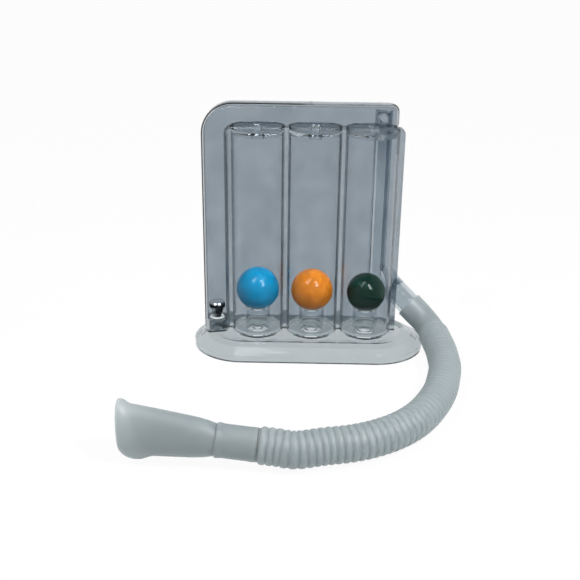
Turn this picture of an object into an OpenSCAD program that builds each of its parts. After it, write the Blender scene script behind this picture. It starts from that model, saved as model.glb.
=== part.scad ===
// Three-ball breathing trainer: a clear body of three tubes on a clear foot,
// a ball in each tube, and a ribbed hose with a flat mouthpiece on the surface in front.
// Frame: +X to the right, +Y to the back, +Z up, origin under the middle of the foot.

/* [Chambers] */
// Distance between the tube axes
chamber_pitch = 32; // [31:0.5:36]
// Bore of each tube
chamber_bore_d = 27.4; // [26.4:0.1:28.4]
// Wall of each tube
chamber_wall = 1.3; // [1:0.1:1.6]
// Height of the tube floor above the surface
chamber_floor_h = 10.2; // [9.6:0.2:12]
// Clear height inside each tube, floor to roof
chamber_len = 118.2; // [100:0.2:130]
// Roof thickness over each tube
chamber_roof = 1.8; // [1.4:0.1:2.4]
// Middle tube's distance to the right of the foot's middle
chamber_shift = 1.5; // [0:0.5:3]

/* [Balls] */
// Ball of the left tube
blue_ball_d = 25.5; // [24:0.1:26]
// Ball of the middle tube
orange_ball_d = 24.9; // [23:0.1:25.6]
// Ball of the right tube
green_ball_d = 23.1; // [21:0.1:24.5]
// Gap that each ball keeps to its seat and its stop
ball_gap = 0.3; // [0.2:0.05:0.5]

/* [Air duct] */
// Width of the duct across its run
duct_w = 14.2; // [13:0.2:16]
// Depth of the duct, front to back
duct_depth = 15; // [13:0.5:17]
// Wall of the duct
duct_wall = 1.3; // [1:0.1:1.6]
// Outer radius of the duct's bend
duct_bend_r = 17.5; // [16:0.5:22]
// Corner radius of the duct's section
duct_corner_r = 4.5; // [3:0.5:6]
// Distance of the duct's right end inside the flange edge
duct_end_inset = 3.9; // [3:0.5:8]
// Place of the gate band on the run, from the foot's middle
gate_band_x = -1.2; // [-20:0.2:20]
// How far the gate band and the gate marks stand proud
gate_rise = 0.25; // [0.1:0.05:0.4]
// Diameter of the gate mark on the front of each tube
gate_mark_d = 1.4; // [1:0.1:2]
// Height of the gate marks
gate_mark_h = 25.3; // [20:0.5:60]
// Bore of the riser behind the right tube
riser_bore_d = 8.6; // [7:0.2:9]
// Wall of the riser
riser_wall = 1.5; // [1.2:0.1:1.8]

/* [Flange] */
// How far the joining flange stands out past the tubes
flange_margin = 2.8; // [2:0.2:4]
// Thickness of the flange on each shell
flange_t = 1.2; // [1:0.1:1.8]
// Corner radius of the flange
flange_corner_r = 4; // [2:0.5:6]
// Height of the flange above the tube roofs
flange_rise = 1.4; // [1:0.2:3]

/* [Foot] */
// Length of the foot
foot_len = 136.4; // [134:1:150]
// Depth of the foot, front to back
foot_depth = 59; // [56:1:66]
// Height of the upright rim
foot_rim_h = 3.7; // [3:0.1:5]
// Wall of the foot
foot_wall = 1.8; // [1.4:0.1:2.2]
// Width of the small ledge on top of the rim
foot_ledge = 0.9; // [0.5:0.1:2]
// Depth of the pocket that the body stands in
pocket_depth = 1.8; // [1.2:0.1:2.4]
// Width of each air slot under the back of the rim
air_slot_w = 14; // [8:1:18]
// Height of each air slot
air_slot_h = 1.8; // [1:0.1:2.4]

/* [Ball seats] */
// Outside of the seat tube
seat_tube_d = 15; // [14:0.2:16]
// Bore of the seat tube
seat_bore_d = 12.6; // [11:0.2:13.4]
// Height of the seat tube above the tube floor
seat_h = 13.2; // [10:0.2:18]
// Thickness of the seat's base disc
seat_disc_t = 1.6; // [1.2:0.1:1.7]
// Air inlet under the blue ball
blue_inlet_d = 6.5; // [5:0.5:7]
// Air inlet under the orange ball
orange_inlet_d = 8; // [6:0.5:9]
// Air inlet under the green ball
green_inlet_d = 9.5; // [7:0.5:10.5]

/* [Top stops] */
// Thickness of the disc that stops a ball
stop_t = 1.4; // [1.2:0.1:2]
// Air outlet through the disc and the roof
outlet_d = 6; // [4:0.5:7]
// Height of the nubs that keep the ball off the outlet
nub_h = 1.2; // [0.8:0.1:2]
// Diameter of each nub
nub_d = 2.4; // [1.6:0.2:3]

/* [Hose port] */
// Outside of the port tube
port_d = 12.6; // [12:0.2:13]
// Outside of the port's thicker middle
port_body_d = 14.2; // [13.4:0.2:14.4]
// Bore of the port tube
port_bore_d = 9.6; // [8.6:0.2:10]
// Height of the port's start on the riser axis
port_h = 39.5; // [38.5:0.5:41]
// Turn of the port towards the front, from the right
port_turn = 30; // [28:1:32]
// Fall of the port below the horizontal
port_fall = 37; // [36:1:38]
// Distance from the riser axis to the tip of the port
port_reach = 32; // [30.5:0.5:32]
// Wall of the socket that holds the port tube
socket_wall = 1; // [0.9:0.1:1.3]

/* [Hose] */
// Outside of the hose over its ribs
hose_d = 18; // [17.4:0.1:18]
// Depth of the grooves between the ribs
rib_depth = 1.3; // [0.8:0.1:1.5]
// Distance from rib to rib
rib_pitch = 3.4; // [3.2:0.1:4]
// Outside of both end cuffs
cuff_d = 16.2; // [15.8:0.1:16.4]
// Wall of both end cuffs
cuff_wall = 1.75; // [1.5:0.05:1.8]
// Length of the cuff's straight sleeve
port_cuff_len = 9; // [8:0.5:10]
// How far the cuff reaches over the port
port_grip = 5; // [4:0.5:6]
// Bend radius of the port cuff, at its middle
port_cuff_bend_r = 16; // [15:0.5:17]
// Length of the cuff at the mouthpiece
mouth_cuff_len = 19.5; // [18:0.5:21]

/* [Mouthpiece] */
// Length of the mouthpiece outside its cuff
mouth_len = 45; // [43:1:49]
// Height of the flat oval where the lip begins
mouth_h = 25.4; // [24:0.2:27]
// Thickness of the flat oval where the lip begins
mouth_w = 16; // [14:0.2:18]
// Outside of the round neck
neck_d = 15; // [14.6:0.2:16]
// How far the lip stands out around the oval
lip_flare = 2.2; // [1.5:0.1:2.4]
// Length of the lip
lip_len = 4.2; // [3:0.2:5]
// Wall of the mouthpiece
mouth_wall = 1.2; // [1:0.1:1.5]
// Length of the stem inside the cuff
stem_len = 14; // [10:1:16]
// Lean of the lip's top edge away from the hose
lip_rake = 10; // [0:1:12]

/* [Relief valve] */
// Outside of the round-bottomed cup
cup_d = 11; // [10:0.2:11.2]
// Height of the cup's lowest point
cup_low_h = 5.2; // [4.6:0.2:6]
// Height of the cup's rim
cup_top_h = 14.4; // [13.6:0.2:15]
// Wall of the cup
cup_wall = 1.5; // [1.4:0.1:1.8]
// Outside of the two-window seat ring
valve_ring_d = 8.6; // [8:0.2:8.8]
// Thickness of the seat ring
valve_ring_t = 1.8; // [1.4:0.1:2.2]
// Diameter of the poppet's flange
poppet_flange_d = 10.2; // [9:0.2:10.4]
// Height of the poppet
poppet_h = 9.6; // [8:0.2:11]
// Lift of the poppet off its ring
poppet_lift = 6; // [3:0.5:8]

/* [Hidden] */
$fn = 64;

// Clearances between pieces
seat_fit = 0.05;      // discs in their tubes, radial
pocket_fit = 0.15;    // body in the foot's pocket
port_fit = 0.05;      // port in its socket and cuff on the port, radial
stem_fit = 0.05;      // mouthpiece stem in its cuff, radial
cup_fit = 0.05;       // cup in the column's foot, radial
ring_fit = 0.05;      // seat ring in the cup, radial
roof_gap = 0.1;       // stop disc to the tube's roof
neck_gap = 0.3;       // mouthpiece shoulder to cuff face
stem_lap = 0.3;       // how deep the stem's wall runs into the neck's wall
cut = 0.5;            // overrun of every cut

// Body
chamber_od = chamber_bore_d + 2 * chamber_wall;
chamber_x = [for (k = [-1, 0, 1]) chamber_shift + k * chamber_pitch];
chamber_top_h = chamber_floor_h + chamber_len;
roof_top_h = chamber_top_h + chamber_roof;
shell_base_h = chamber_floor_h - pocket_depth;
flange_left = chamber_x[0] - chamber_od / 2 - flange_margin;
flange_right = chamber_x[2] + chamber_od / 2 + flange_margin;
flange_top_h = roof_top_h + flange_rise;
inner_corner_r = duct_corner_r - duct_wall;

// Duct: a column on the left, a bend, and a run over the tubes with a rounded right end
column_x = flange_left + duct_wall / 2 - duct_w / 2;
duct_h = roof_top_h + duct_w / 2;
bend_mid_r = duct_bend_r - duct_w / 2;
bend_x = column_x + bend_mid_r;
bend_h = duct_h - bend_mid_r;
duct_end_x = flange_right - duct_end_inset - duct_depth / 2;
body_h = duct_h + duct_w / 2;
span = foot_len + foot_depth;

// Riser: joins the right end of the duct to the hose port
riser_d = riser_bore_d + 2 * riser_wall;
riser_skin = 1.1;     // wall left between the riser's bore and the tube's bore
riser_reach = chamber_bore_d / 2 + riser_skin + riser_bore_d / 2;
riser_turn = 66;      // where the riser stands round the right tube, in degrees from +X
riser_x = chamber_x[2] + riser_reach * cos(riser_turn);
riser_y = riser_reach * sin(riser_turn);
sump_low_h = port_h - riser_bore_d / 2;
link_bore_share = 0.6;
link_lift = 0.2;      // link's bore above the duct's lower wall, and the riser's bore above the link's
link_h = roof_top_h + duct_wall + link_lift + riser_bore_d * link_bore_share / 2;
sump_top_h = link_h + link_lift + riser_bore_d * link_bore_share / 2;
link_x = duct_end_x - riser_bore_d / 4;
link_len = norm([riser_x - link_x, riser_y]);
link_turn = atan2(-riser_y, link_x - riser_x);

// Foot: the slope runs from the flat top out to the ledge on the rim
foot_r = foot_depth / 2;
foot_straight = foot_len - foot_depth;
slope_start_r = chamber_od / 2 + foot_wall;
slope_end_r = foot_r - foot_ledge;
slope_steps = 8;
slope_power = 1.5;
deck_low_h = shell_base_h - foot_wall;
air_slot_x_shares = [-0.3, 0, 0.3];

// Ball seats and heights of the balls at rest
seat_top_h = chamber_floor_h + seat_h;
function ball_rest_h(d) = seat_top_h + sqrt(pow(d / 2, 2) - pow(seat_bore_d / 2, 2)) + ball_gap;
stop_low_h = chamber_top_h - roof_gap - stop_t;
nub_circle_share = 0.34;
function ball_travel(d) = stop_low_h - nub_h - ball_gap - ball_rest_h(d) - d / 2;

// Port frame: local +X runs out of the port
port_dir = [cos(port_turn) * cos(port_fall), -sin(port_turn) * cos(port_fall), -sin(port_fall)];
port_start = [riser_x, riser_y, port_h];
socket_d = port_d + 2 * (port_fit + socket_wall);
socket_len = 15;
socket_step = 11.5;    // where the port tube seats inside the socket
cuff_bore_d = cuff_d - 2 * cuff_wall;
cuff_step = 0.3;      // the bend is this much slimmer than the sleeve, outside and inside
sleeve_lap = 0.6;     // how far the sleeve reaches over the bend
port_cuff_low = port_reach - port_grip;
bend_start = port_start + (port_cuff_low + port_cuff_len) * port_dir;

// Port cuff: it bends from the port's direction to run forward along the surface
cuff_roll = 160;      // tilt of the bend's plane about the port's direction
cuff_bend = 59;       // angle of the bend
port_side = [sin(port_turn), cos(port_turn), 0];
port_up = cross(port_dir, port_side);
bend_side = cos(cuff_roll) * port_side + sin(cuff_roll) * port_up;
hose_start_dir = cos(cuff_bend) * port_dir + sin(cuff_bend) * bend_side;
hose_start = bend_start
    + port_cuff_bend_r * (sin(cuff_bend) * port_dir + (1 - cos(cuff_bend)) * bend_side);

// Mouth cuff and mouthpiece lie on one line, lifted towards the lip
mouth_turn = 177;
mouth_lift = 5.2;
mouth_dir = [cos(mouth_turn) * cos(mouth_lift), sin(mouth_turn) * cos(mouth_lift), sin(mouth_lift)];
hose_end = [-24, -135.3, 10.6];
mouth_cuff_end = hose_end + mouth_cuff_len * mouth_dir;

// Hose route: round numbers, straight for one diameter at both ends
hose_lie = 9.1;
hose_route = concat(
    [hose_start, hose_start + 0.5 * hose_d * hose_start_dir, hose_start + hose_d * hose_start_dir],
    [[75.5, -37, 9.7], [75, -49, 9.2], [72.5, -62, hose_lie], [68.5, -77, hose_lie],
     [62.5, -91, hose_lie], [55, -104, hose_lie], [45.5, -115, hose_lie],
     [34, -123.5, hose_lie], [21, -129.5, hose_lie], [7, -133, hose_lie]],
    [hose_end - hose_d * mouth_dir, hose_end - 0.5 * hose_d * mouth_dir, hose_end]);
hose_sides = 8;
hose_end_d = cuff_d - 2 * cuff_step;
hose_smooth = 3;      // plain length at each end of the hose
route_steps = 10;     // straight pieces between two route points

// Loft of the mouthpiece
loft_sides = 28;
loft_steps = 9;
lip_steps = 4;

// Relief valve
valve_block_h = cup_top_h + valve_ring_t;
cup_hole_share = 0.3;
window_w_share = 0.36;
window_bar_share = 0.14;
poppet_low_h = cup_top_h + valve_ring_t + ball_gap;
poppet_low_d_share = 0.46;
poppet_top_d_share = 0.84;
poppet_flange_t_share = 0.22;
poppet_dome_share = 0.1;

// Shared shapes
module round_rect(w, h, r) {
    square([w - 2 * r, h], center = true);
    square([w, h - 2 * r], center = true);
    for (x = [-1, 1], y = [-1, 1])
        translate([x * (w / 2 - r), y * (h / 2 - r)]) circle(r);
}

module along_port() {
    translate(port_start) rotate([0, 90 + port_fall, -port_turn]) children();
}

module along_mouth(from) {
    translate(from) rotate([0, 90 - mouth_lift, mouth_turn]) children();
}

// The duct's solid, or its hollow when inset by the wall
module duct_run(inset, low_h) {
    w = duct_w - 2 * inset;
    d = duct_depth - 2 * inset;
    r = duct_corner_r - inset;
    translate([column_x, 0, low_h]) linear_extrude(bend_h - low_h) round_rect(w, d, r);
    translate([bend_x, 0, bend_h]) rotate([90, 0, 0]) rotate([0, 0, 90])
        rotate_extrude(angle = 90) translate([bend_mid_r, 0]) round_rect(w, d, r);
    translate([bend_x, 0, duct_h]) rotate([90, 0, 90])
        linear_extrude(duct_end_x - bend_x) round_rect(d, w, r);
    translate([duct_end_x, 0, duct_h]) rotate([0, 0, -90])
        rotate_extrude(angle = 180) intersection() {
            round_rect(d, w, r);
            translate([0, -w / 2]) square([d / 2, w]);
        }
}

// Thin raised band round the run, where the plastic enters the mould
module gate_band() {
    translate([gate_band_x, 0, duct_h]) rotate([90, 0, 90])
        linear_extrude(gate_mark_d, center = true)
            round_rect(duct_depth + 2 * gate_rise, duct_w + 2 * gate_rise, duct_corner_r + gate_rise);
}

module flange_plate() {
    w = flange_right - flange_left;
    h = flange_top_h - shell_base_h;
    translate([flange_left + w / 2, 0, shell_base_h + h / 2]) rotate([90, 0, 0])
        linear_extrude(2 * flange_t, center = true) {
            round_rect(w, h, flange_corner_r);
            translate([0, -h / 4]) square([w, h / 2], center = true);
        }
}

module riser_solid() {
    translate([riser_x, riser_y, sump_low_h - riser_wall])
        cylinder(d = riser_d, h = sump_top_h - sump_low_h + 2 * riser_wall);
    translate([riser_x, riser_y, link_h]) rotate([0, 90, link_turn])
        cylinder(d = riser_d * link_bore_share, h = link_len);
    along_port() cylinder(d = socket_d, h = socket_len);
}

module riser_hollow() {
    translate([riser_x, riser_y, sump_low_h])
        cylinder(d = riser_bore_d, h = sump_top_h - sump_low_h);
    translate([riser_x, riser_y, link_h]) rotate([0, 90, link_turn])
        cylinder(d = riser_bore_d * link_bore_share, h = link_len);
    along_port() cylinder(d = riser_bore_d * link_bore_share, h = socket_len);
    along_port() translate([0, 0, socket_step])
        cylinder(d = port_d + 2 * port_fit, h = socket_len);
}

// The whole moulded body before it is split at the joining plane
module body_solid() {
    difference() {
        union() {
            for (x = chamber_x)
                translate([x, 0, shell_base_h])
                    cylinder(d = chamber_od, h = roof_top_h - shell_base_h);
            flange_plate();
            duct_run(0, shell_base_h);
            gate_band();
            for (x = chamber_x)
                translate([x, 0, gate_mark_h]) rotate([90, 0, 0])
                    cylinder(d = gate_mark_d, h = chamber_od / 2 + gate_rise);
            riser_solid();
        }
        for (x = chamber_x) {
            translate([x, 0, shell_base_h - cut])
                cylinder(d = chamber_bore_d, h = chamber_top_h - shell_base_h + cut);
            translate([x, 0, chamber_top_h - cut])
                cylinder(d = outlet_d, h = chamber_roof + duct_wall + 2 * cut);
        }
        duct_run(duct_wall, valve_block_h);
        translate([column_x, 0, shell_base_h - cut])
            cylinder(d = cup_d + 2 * cup_fit, h = valve_block_h - shell_base_h + 2 * cut);
        riser_hollow();
    }
}

module front_shell() {
    color("lightsteelblue", 0.4) intersection() {
        body_solid();
        translate([-span / 2, -span, 0]) cube([span, span, body_h + riser_d]);
    }
}

module rear_shell() {
    color("lightsteelblue", 0.4) intersection() {
        body_solid();
        translate([-span / 2, 0, 0]) cube([span, span, body_h + riser_d]);
    }
}

// Plan of the body's foot, for the pocket
module body_plan(grow) {
    for (x = chamber_x) translate([x, 0]) circle(d = chamber_od + 2 * grow);
    translate([flange_left - grow, -flange_t - grow])
        square([flange_right - flange_left + 2 * grow, 2 * (flange_t + grow)]);
    translate([column_x, 0]) round_rect(duct_w + 2 * grow, duct_depth + 2 * grow, duct_corner_r + grow);
}

// Half section of the foot: slope points run outwards
function slope_point(k, drop) =
    let (t = k / slope_steps)
    [slope_start_r + (slope_end_r - slope_start_r) * t - drop * t,
     foot_rim_h + (chamber_floor_h - foot_rim_h) * (1 - pow(t, slope_power)) - drop];

foot_outline = concat(
    [[0, chamber_floor_h]],
    [for (k = [0:slope_steps]) slope_point(k, 0)],
    [[foot_r, foot_rim_h], [foot_r, 0], [foot_r - foot_wall, 0],
     [foot_r - foot_wall, foot_rim_h - foot_wall]],
    [for (k = [slope_steps - 1:-1:1])
        if (slope_point(k, foot_wall)[1] < deck_low_h) slope_point(k, foot_wall)],
    [[slope_start_r, deck_low_h], [0, deck_low_h]]);

module base_foot() {
    color("lightsteelblue", 0.4) difference() {
        union() {
            for (side = [0, 1])
                mirror([side, 0, 0]) translate([foot_straight / 2, 0, 0]) rotate([0, 0, -90])
                    rotate_extrude(angle = 180) polygon(foot_outline);
            for (side = [0, 1])
                mirror([0, side, 0]) rotate([90, 0, 90])
                    linear_extrude(foot_straight, center = true) polygon(foot_outline);
        }
        translate([0, 0, shell_base_h]) linear_extrude(pocket_depth + cut) body_plan(pocket_fit);
        for (x = chamber_x)
            translate([x, 0, deck_low_h - cut]) cylinder(d = seat_bore_d, h = foot_wall + 2 * cut);
        translate([column_x, 0, deck_low_h - cut])
            cylinder(d = cup_d + 4 * pocket_fit, h = foot_wall + 2 * cut);
        for (share = air_slot_x_shares)
            translate([share * foot_len - air_slot_w / 2, foot_r - foot_wall - cut, -cut])
                cube([air_slot_w, foot_wall + 2 * cut, air_slot_h + cut]);
    }
}

module ball(x, d) {
    translate([x, 0, ball_rest_h(d)]) sphere(d = d);
}

module blue_ball() { color("dodgerblue") ball(chamber_x[0], blue_ball_d); }
module orange_ball() { color("orange") ball(chamber_x[1], orange_ball_d); }
module green_ball() { color("darkgreen") ball(chamber_x[2], green_ball_d); }

// Seat: a disc on the tube's floor with an inlet, and a tube that carries the ball
module ball_seat(x, inlet_d) {
    disc_low_h = chamber_floor_h - seat_disc_t;
    color("whitesmoke", 0.5) translate([x, 0, disc_low_h]) difference() {
        union() {
            cylinder(d = chamber_bore_d - 2 * seat_fit, h = seat_disc_t);
            cylinder(d = seat_tube_d, h = seat_disc_t + seat_h);
        }
        translate([0, 0, seat_disc_t]) cylinder(d = seat_bore_d, h = seat_h + cut);
        translate([0, 0, -cut]) cylinder(d = inlet_d, h = seat_disc_t + 2 * cut);
    }
}

module blue_ball_seat() { ball_seat(chamber_x[0], blue_inlet_d); }
module orange_ball_seat() { ball_seat(chamber_x[1], orange_inlet_d); }
module green_ball_seat() { ball_seat(chamber_x[2], green_inlet_d); }

// Stop: a disc under the tube's roof with three nubs round the outlet
module top_stop(x) {
    color("whitesmoke", 0.5) translate([x, 0, stop_low_h]) {
        difference() {
            cylinder(d = chamber_bore_d - 2 * seat_fit, h = stop_t);
            translate([0, 0, -cut]) cylinder(d = outlet_d, h = stop_t + 2 * cut);
        }
        for (k = [0:2])
            rotate([0, 0, 90 + k * 120])
                translate([chamber_bore_d / 2 * nub_circle_share, 0, -nub_h])
                    cylinder(d = nub_d, h = nub_h + stop_t / 2);
    }
}

module blue_top_stop() { top_stop(chamber_x[0]); }
module orange_top_stop() { top_stop(chamber_x[1]); }
module green_top_stop() { top_stop(chamber_x[2]); }

module hose_port() {
    color("lightsteelblue", 0.5) along_port() difference() {
        union() {
            translate([0, 0, socket_step]) cylinder(d = port_d, h = port_reach - socket_step);
            translate([0, 0, socket_len]) cylinder(d = port_body_d, h = port_cuff_low - socket_len);
        }
        cylinder(d = port_bore_d, h = port_reach + cut);
    }
}

// Cuff on the port: a straight sleeve, then a bend down to the hose
module port_cuff() {
    color("gainsboro", 0.8) {
        along_port() translate([0, 0, port_cuff_low]) difference() {
            cylinder(d = cuff_d, h = port_cuff_len + sleeve_lap);
            translate([0, 0, -cut])
                cylinder(d = cuff_bore_d, h = port_cuff_len + sleeve_lap + 2 * cut);
        }
        translate(bend_start) rotate([0, port_fall, -port_turn]) rotate([cuff_roll, 0, 0])
            translate([0, port_cuff_bend_r, 0]) rotate([0, 0, -90])
                rotate_extrude(angle = cuff_bend) translate([port_cuff_bend_r, 0]) difference() {
                    circle(d = cuff_d - 2 * cuff_step);
                    circle(d = cuff_bore_d - 2 * cuff_step);
                }
    }
}

// Smooth curve through the route points
function blend(a, b, c, d, t) =
    b + (c - a) * t / 2 + (a - 2.5 * b + 2 * c - d / 2) * t * t
    + (1.5 * b - a / 2 - 1.5 * c + d / 2) * t * t * t;
function curve_at(p, i, t) =
    let (n = len(p) - 1)
    blend(p[max(i - 1, 0)], p[i], p[min(i + 1, n)], p[min(i + 2, n)], t);
function unit(v) = v / norm(v);
curve = concat(
    [for (i = [0:len(hose_route) - 2], k = [0:route_steps - 1])
        curve_at(hose_route, i, k / route_steps)],
    [hose_route[len(hose_route) - 1]]);
curve_last = len(curve) - 1;
function curve_step(i) = i < curve_last ? norm(curve[i + 1] - curve[i]) : 0;
// distance along the curve at each of its points
curve_s = [for (i = 0, s = 0; i <= curve_last; s = s + curve_step(i), i = i + 1) s];
hose_len = curve_s[curve_last];
function curve_index(s, lo, hi) =
    hi - lo <= 1 ? lo :
    let (mid = floor((lo + hi) / 2))
    curve_s[mid] <= s ? curve_index(s, mid, hi) : curve_index(s, lo, mid);
function hose_point(s) =
    let (i = curve_index(s, 0, curve_last))
    curve[i] + (s - curve_s[i]) / curve_step(i) * (curve[i + 1] - curve[i]);
function hose_dir(s) =
    s < hose_smooth ? hose_start_dir :
    s > hose_len - hose_smooth ? mouth_dir :
    unit(hose_point(min(s + hose_smooth, hose_len)) - hose_point(s - hose_smooth));
function hose_ring(s, r) =
    let (p = hose_point(s), t = hose_dir(s), side = unit(cross(t, [0, 0, 1])), up = cross(side, t))
    [for (k = [0:hose_sides - 1])
        let (a = 360 * (k + 0.5) / hose_sides)
        p + r * (cos(a) * side + sin(a) * up)];

// Faces of a closed loft: m loops of n points, the last loop joined to the first
function loft_faces(m, n) =
    [for (j = [0:m - 1], k = [0:n - 1], half = [0, 1])
        let (a = j * n + k,
             b = j * n + (k + 1) % n,
             c = (j + 1) % m * n + k,
             d = (j + 1) % m * n + (k + 1) % n)
        half == 0 ? [a, b, c] : [b, d, c]];

// Hose: two rings to a rib outside, a plain bore inside
module ribbed_hose() {
    ribs = floor((hose_len - 2 * hose_smooth) / rib_pitch);
    pitch = (hose_len - 2 * hose_smooth) / ribs;
    // rings outside: the plain ends, then a groove and a crest for each rib
    outer = concat([[0, hose_end_d / 2]],
                   [for (k = [0:ribs - 1], half = [0, 1])
                       [hose_smooth + (k + half / 2) * pitch, hose_d / 2 - (1 - half) * rib_depth]],
                   [[hose_len - hose_smooth, hose_d / 2 - rib_depth], [hose_len, hose_end_d / 2]]);
    inner_count = ceil(ribs / 2);
    inner = [for (k = [inner_count:-1:0]) [hose_len * k / inner_count, cuff_bore_d / 2]];
    loops = concat(outer, inner);
    points = [for (q = loops) each hose_ring(q[0], q[1])];
    color("gainsboro", 0.8)
        polyhedron(points, loft_faces(len(loops), hose_sides), convexity = 10);
}

module mouth_cuff() {
    color("gainsboro", 0.8) along_mouth(hose_end) difference() {
        cylinder(d = cuff_d, h = mouth_cuff_len);
        translate([0, 0, -cut]) cylinder(d = cuff_bore_d, h = mouth_cuff_len + 2 * cut);
    }
}

// Mouthpiece sections: a round neck that flattens to an upright oval, then the flared lip.
// Local z runs along the mouthpiece, x is up (reversed) and y is across.
bell_len = mouth_len - lip_len;
stem_d = cuff_bore_d - 2 * stem_fit;
root_bore_d = stem_d - 2 * stem_lap;
function ease(t) = t * t * (3 - 2 * t);
function section(z, h, w, lean) =
    [for (k = [0:loft_sides - 1]) let (a = 360 * k / loft_sides, x = -h / 2 * cos(a))
        [x, w / 2 * sin(a), z - x * tan(lean)]];
function bell_section(t, root_d, inset) =
    section(neck_gap + t * bell_len, root_d + (mouth_h - 2 * inset - root_d) * t,
            root_d + (mouth_w - 2 * inset - root_d) * ease(t), lip_rake * t * t);
function lip_section(t, inset) =
    section(neck_gap + bell_len + lip_len * sin(90 * t), mouth_h + 2 * lip_flare * t * t - 2 * inset,
            mouth_w + 2 * lip_flare * t * t - 2 * inset, lip_rake);

module mouthpiece() {
    loops = concat([for (k = [0:loft_steps]) bell_section(k / loft_steps, neck_d, 0)],
                   [for (k = [1:lip_steps]) lip_section(k / lip_steps, 0)],
                   [for (k = [lip_steps:-1:1]) lip_section(k / lip_steps, mouth_wall)],
                   [for (k = [loft_steps:-1:0]) bell_section(k / loft_steps, root_bore_d, mouth_wall)]);
    points = [for (q = loops) each q];
    stem_h = stem_len + neck_gap + mouth_wall;
    color("gainsboro", 0.9) along_mouth(mouth_cuff_end) {
        polyhedron(points, loft_faces(len(loops), loft_sides), convexity = 10);
        translate([0, 0, -stem_len]) difference() {
            cylinder(d = stem_d, h = stem_h);
            translate([0, 0, -cut]) cylinder(d = stem_d - 2 * mouth_wall, h = stem_h + 2 * cut);
        }
    }
}

// Cup: a round-bottomed bowl in the foot of the column, with an air hole underneath
module valve_cup() {
    ball_h = cup_low_h + cup_d / 2;
    inner_d = cup_d - 2 * cup_wall;
    color("lightsteelblue", 0.5) translate([column_x, 0, 0]) difference() {
        union() {
            translate([0, 0, ball_h]) sphere(d = cup_d);
            translate([0, 0, ball_h]) cylinder(d = cup_d, h = cup_top_h + valve_ring_t - ball_h);
        }
        translate([0, 0, ball_h]) sphere(d = inner_d);
        translate([0, 0, ball_h]) cylinder(d = inner_d, h = cup_top_h + valve_ring_t - ball_h + cut);
        translate([0, 0, cup_top_h]) cylinder(d = valve_ring_d + 2 * ring_fit, h = valve_ring_t + cut);
        translate([0, 0, cup_low_h - cut]) cylinder(d = cup_d * cup_hole_share, h = cup_wall + 2 * cut);
    }
}

module valve_seat_ring() {
    r = valve_ring_d / 2;
    color("white") translate([column_x, 0, cup_top_h]) difference() {
        cylinder(r = r, h = valve_ring_t);
        for (side = [-1, 1])
            translate([side * valve_ring_d * (window_w_share + window_bar_share) / 2, 0, -cut])
                cylinder(d = valve_ring_d * window_w_share, h = valve_ring_t + 2 * cut);
    }
}

module valve_poppet() {
    flange_h = poppet_h * poppet_flange_t_share;
    cone_h = poppet_h * (1 - poppet_flange_t_share - poppet_dome_share);
    d = poppet_flange_d;
    color("dimgray") translate([column_x, 0, poppet_low_h])
        rotate_extrude() polygon([[0, 0], [d / 2 * poppet_low_d_share, 0],
            [d / 2 * poppet_top_d_share, cone_h], [d / 2, cone_h], [d / 2, cone_h + flange_h],
            [d / 2 * poppet_top_d_share, poppet_h], [0, poppet_h]]);
}

front_shell();
rear_shell();
base_foot();
blue_ball();
orange_ball();
green_ball();
blue_ball_seat();
orange_ball_seat();
green_ball_seat();
blue_top_stop();
orange_top_stop();
green_top_stop();
hose_port();
port_cuff();
ribbed_hose();
mouth_cuff();
mouthpiece();
valve_cup();
valve_seat_ring();
valve_poppet();
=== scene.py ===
# Three-ball breathing trainer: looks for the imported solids, in metres and in the same frame.
import math

import bmesh
import bpy
from mathutils import Matrix, Vector


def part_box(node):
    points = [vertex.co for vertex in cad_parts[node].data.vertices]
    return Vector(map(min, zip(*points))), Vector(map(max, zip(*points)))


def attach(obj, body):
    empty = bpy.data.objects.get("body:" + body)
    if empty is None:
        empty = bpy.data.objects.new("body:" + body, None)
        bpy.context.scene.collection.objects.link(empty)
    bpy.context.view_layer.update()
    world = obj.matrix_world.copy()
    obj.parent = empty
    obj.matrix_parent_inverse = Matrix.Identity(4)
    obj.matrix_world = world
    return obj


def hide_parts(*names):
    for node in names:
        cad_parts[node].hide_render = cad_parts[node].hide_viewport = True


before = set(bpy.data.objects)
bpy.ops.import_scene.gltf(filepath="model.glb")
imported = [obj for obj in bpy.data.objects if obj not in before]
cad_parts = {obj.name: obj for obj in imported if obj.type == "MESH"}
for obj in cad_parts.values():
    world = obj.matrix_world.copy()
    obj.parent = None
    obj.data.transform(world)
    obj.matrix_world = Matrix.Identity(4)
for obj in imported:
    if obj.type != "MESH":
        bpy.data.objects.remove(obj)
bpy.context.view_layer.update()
scene = bpy.context.scene
print("frame loaded:", len(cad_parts), "nodes")

cameraSettings = {
    "place": (-0.0056, -0.4956, 0.2339),
    "pitch": 22.0,
    "roll": 0.74,
    "yaw": -0.68,
    "lens": 55.99,
    "sensor": 36,
    "clip": 0.01,
}


def addCamera(cfg):
    p, r, y = (math.radians(cfg[k]) for k in ("pitch", "roll", "yaw"))
    ahead = Vector((math.sin(y) * math.cos(p), math.cos(y) * math.cos(p), -math.sin(p)))
    right = Vector((math.cos(y), -math.sin(y), 0))
    down = ahead.cross(right)
    rightRolled = right * math.cos(r) - down * math.sin(r)
    downRolled = right * math.sin(r) + down * math.cos(r)
    data = bpy.data.cameras.new("camera")
    data.lens = cfg["lens"]
    data.sensor_width = cfg["sensor"]
    data.clip_start = cfg["clip"]
    camera = bpy.data.objects.new("camera", data)
    turn = Matrix((rightRolled, -downRolled, -ahead)).transposed().to_4x4()
    camera.matrix_world = Matrix.Translation(cfg["place"]) @ turn
    scene.collection.objects.link(camera)
    scene.camera = camera


addCamera(cameraSettings)


def newSocket(tree, name, kind, inOut, value=None):
    socket = tree.interface.new_socket(name=name, in_out=inOut, socket_type=kind)
    if value is not None:
        socket.default_value = value
    return socket


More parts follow.
